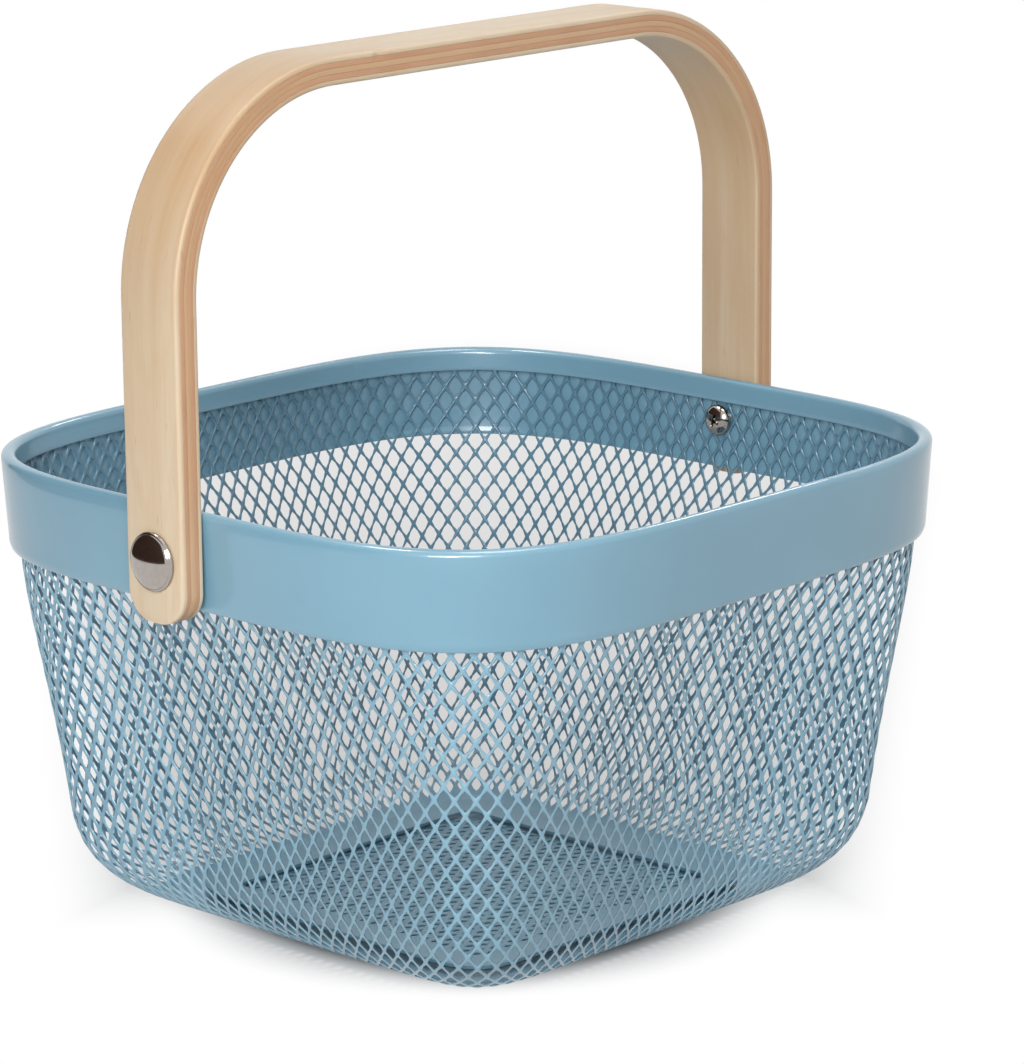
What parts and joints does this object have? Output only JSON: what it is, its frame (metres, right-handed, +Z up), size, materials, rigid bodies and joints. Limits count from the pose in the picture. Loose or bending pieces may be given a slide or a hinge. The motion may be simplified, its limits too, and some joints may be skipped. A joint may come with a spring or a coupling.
{
  "type": "wire mesh basket",
  "caption": "Rounded-square basket of painted expanded metal with a smooth folded rim band and a bent plywood carrying handle that swings on pivots at the rim.",
  "frame": {"origin": "on the table under the middle of the basket", "axes": "+Z up, X from pivot to pivot along the 208 mm side of the rim, Y along the 202 mm side"},
  "size_m": [0.23, 0.202, 0.2324],
  "materials": {
    "painted_band": "smooth grey-blue powder coat, satin gloss",
    "painted_mesh": "grey-blue powder coat over expanded metal, satin",
    "face_veneer": "pale birch veneer, clear matt lacquer",
    "cross_ply": "brown cross ply seen on its sanded edge",
    "core_ply": "pale core ply seen on its sanded edge",
    "polished_metal": "mirror-polished nickel plate",
    "washer_plastic": "dark matt plastic"
  },
  "bodies": {
    "basket": {"rim_band": "painted_band", "wall_mesh": "painted_mesh", "base_mesh": "painted_mesh", "base_ring": "painted_band", "left_cap_nut": "polished_metal", "left_screw": "polished_metal", "left_washer": "washer_plastic", "right_cap_nut": "polished_metal", "right_screw": "polished_metal", "right_washer": "washer_plastic"},
    "handle": {"handle_outer_veneer": "face_veneer", "handle_outer_cross_ply": "cross_ply", "handle_core_ply": "core_ply", "handle_inner_cross_ply": "cross_ply", "handle_inner_veneer": "face_veneer"}
  },
  "joints": [
    {"name": "handle_swing", "type": "hinge", "parent": "basket", "child": "handle", "pos_m": [0, 0, 0.1132], "axis": [1, 0, 0], "range_deg": [-124, 124]}
  ]
}
